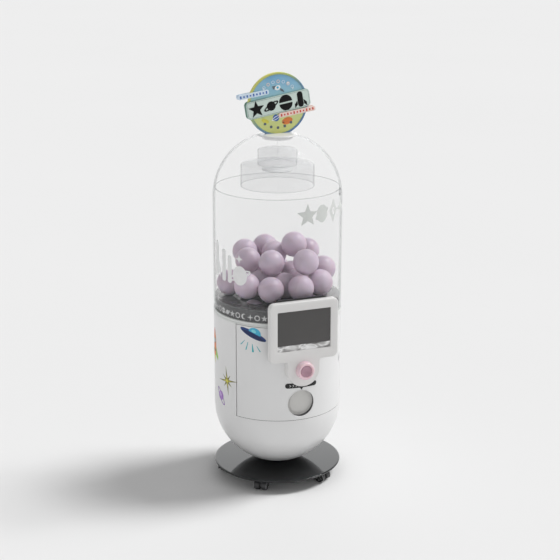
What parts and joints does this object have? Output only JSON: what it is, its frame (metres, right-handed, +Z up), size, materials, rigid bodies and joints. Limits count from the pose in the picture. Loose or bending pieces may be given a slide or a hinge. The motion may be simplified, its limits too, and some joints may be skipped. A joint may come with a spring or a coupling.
{
  "type": "capsule toy vending machine",
  "caption": "Free-standing pill-shaped capsule toy vendor: white cabinet with door, display and outlet below, clear domed bin above, round sign on top, round base on casters.",
  "frame": {"origin": "on the floor, under the vertical axis of the round body", "axes": "+Z up, front of the machine faces -Y, +X to the right as seen by a customer"},
  "size_m": [0.506, 0.556, 1.614],
  "materials": {
    "white_shell": "gloss white",
    "black_gloss": "polished black",
    "base_metal": "polished black",
    "caster_grey": "satin grey",
    "caster_black": "matt black",
    "zinc_steel": "zinc plated",
    "ring_grey": "satin light grey",
    "clear_acrylic": "clear",
    "frosted_acrylic": "frosted",
    "mech_grey": "matt grey",
    "mech_dark": "matt dark grey",
    "mech_light": "matt light grey",
    "brass_gear": "machined",
    "circuit": "solder mask green",
    "galvanised": "galvanised",
    "lilac_capsule": "pearl lilac",
    "sign_edge": "satin blue grey",
    "sign_print": "printed",
    "sign_white": "printed white",
    "led_board": "white board",
    "saddle_dark": "fine texture",
    "screen_glass": "dark glass",
    "trim_chrome": "mirror",
    "pink_light": "gloss pink",
    "pink_dark": "gloss dusky pink",
    "flap_grey": "satin grey"
  },
  "bodies": {
    "cabinet": {"base_plate": "base_metal", "caster_sockets": "zinc_steel", "pedestal_disc": "base_metal", "pedestal_bolts": "zinc_steel", "lower_shell": "white_shell", "door_pivot_pins": "zinc_steel", "tube_base_ring": "ring_grey", "band_skirt": "black_gloss", "hopper_floor": "black_gloss", "clear_liner": "clear_acrylic", "dispenser_drum": "mech_light", "gear_motor": "galvanised", "drop_chute": "mech_light", "capsule_tray": "mech_light", "controller_board": "circuit", "power_supply": "galvanised", "mains_inlet": "caster_black", "capsule_tops": "lilac_capsule", "capsule_bottoms": "lilac_capsule"},
    "rotor": {"pocket_wheel": "mech_dark", "pocket_capsules": "lilac_capsule", "rotor_shaft": "zinc_steel", "agitator": "mech_light", "drive_gear": "mech_light"},
    "pinion": {"motor_pinion": "brass_gear"},
    "lift_off_top": {"clear_shell": "clear_acrylic", "dome_collar": "white_shell", "lamp_hanger": "frosted_acrylic", "lamp_upper_drum": "frosted_acrylic", "lamp_lower_drum": "frosted_acrylic", "lamp_board": "led_board", "sign_case": "sign_edge", "sign_face": "sign_print", "sign_back": "sign_print", "sign_plates": "sign_white"},
    "door": {"door_panel": "white_shell", "display_saddle": "saddle_dark", "display_bezel": "white_shell", "display_panel": "saddle_dark", "display_glass": "screen_glass", "display_trim": "trim_chrome", "button_housing": "pink_light", "direction_label": "caster_black", "outlet_frame": "white_shell", "flap_pin": "zinc_steel", "lock_housing": "zinc_steel", "door_screws": "zinc_steel"},
    "flap": {"outlet_flap": "flap_grey"},
    "button": {"button_plunger": "pink_dark"},
    "lock": {"lock_cam": "zinc_steel"},
    "caster_1": {"caster_fork_1": "caster_grey"},
    "wheels_1": {"caster_wheels_1": "caster_black"},
    "caster_2": {"caster_fork_2": "caster_grey"},
    "wheels_2": {"caster_wheels_2": "caster_black"},
    "caster_3": {"caster_fork_3": "caster_grey"},
    "wheels_3": {"caster_wheels_3": "caster_black"},
    "caster_4": {"caster_fork_4": "caster_grey"},
    "wheels_4": {"caster_wheels_4": "caster_black"},
    "caster_5": {"caster_fork_5": "caster_grey"},
    "wheels_5": {"caster_wheels_5": "caster_black"}
  },
  "joints": [
    {"name": "rotor_spin", "type": "hinge", "parent": "cabinet", "child": "rotor", "pos_m": [0, 0, 0.634], "axis": [0, 0, 1], "continuous": true},
    {"name": "pinion_spin", "type": "hinge", "parent": "cabinet", "child": "pinion", "pos_m": [0, 0.0751, 0.61], "axis": [0, 0, 1], "continuous": true},
    {"name": "top_lift", "type": "slide", "parent": "cabinet", "child": "lift_off_top", "axis": [0, 0, 1], "range_m": [0, 0.5]},
    {"name": "door_swing", "type": "hinge", "parent": "cabinet", "child": "door", "pos_m": [-0.21304, -0.123, 0.493], "axis": [0, 0, -1], "range_deg": [0, 100]},
    {"name": "flap_swing", "type": "hinge", "parent": "door", "child": "flap", "pos_m": [0, -0.233, 0.434], "axis": [1, 0, 0], "range_deg": [0, 70]},
    {"name": "button_press", "type": "slide", "parent": "door", "child": "button", "axis": [0, 1, 0], "range_m": [0, 0.004], "stiffness_N_per_m": 250, "springref_m": -0.004},
    {"name": "lock_turn", "type": "hinge", "parent": "door", "child": "lock", "pos_m": [0.19946, -0.14227, 0.5], "axis": [-0.8141, 0.5807, 0], "range_deg": [0, 90]},
    {"name": "caster_1_swivel", "type": "hinge", "parent": "cabinet", "child": "caster_1", "pos_m": [-0.12582, -0.15931, 0.045], "axis": [0, 0, 1], "continuous": true},
    {"name": "caster_1_roll", "type": "hinge", "parent": "caster_1", "child": "wheels_1", "pos_m": [-0.13387, -0.16951, 0.019], "axis": [0.7848, -0.6198, 0], "continuous": true},
    {"name": "caster_2_swivel", "type": "hinge", "parent": "cabinet", "child": "caster_2", "pos_m": [0.11263, -0.16889, 0.045], "axis": [0, 0, 1], "continuous": true},
    {"name": "caster_2_roll", "type": "hinge", "parent": "caster_2", "child": "wheels_2", "pos_m": [0.11985, -0.1797, 0.019], "axis": [0.832, 0.5548, 0], "continuous": true},
    {"name": "caster_3_swivel", "type": "hinge", "parent": "cabinet", "child": "caster_3", "pos_m": [0.19543, 0.05493, 0.045], "axis": [0, 0, 1], "continuous": true},
    {"name": "caster_3_roll", "type": "hinge", "parent": "caster_3", "child": "wheels_3", "pos_m": [0.20794, 0.05845, 0.019], "axis": [-0.2706, 0.9627, 0], "continuous": true},
    {"name": "caster_4_swivel", "type": "hinge", "parent": "cabinet", "child": "caster_4", "pos_m": [0.00815, 0.20284, 0.045], "axis": [0, 0, 1], "continuous": true},
    {"name": "caster_4_roll", "type": "hinge", "parent": "caster_4", "child": "wheels_4", "pos_m": [0.00867, 0.21583, 0.019], "axis": [-0.9992, 0.0401, 0], "continuous": true},
    {"name": "caster_5_swivel", "type": "hinge", "parent": "cabinet", "child": "caster_5", "pos_m": [-0.19039, 0.07043, 0.045], "axis": [0, 0, 1], "continuous": true},
    {"name": "caster_5_roll", "type": "hinge", "parent": "caster_5", "child": "wheels_5", "pos_m": [-0.20258, 0.07494, 0.019], "axis": [-0.3469, -0.9379, 0], "continuous": true}
  ],
  "couplings": [
    {"joint": "pinion_spin", "follows": "rotor_spin", "ratio": -4}
  ]
}
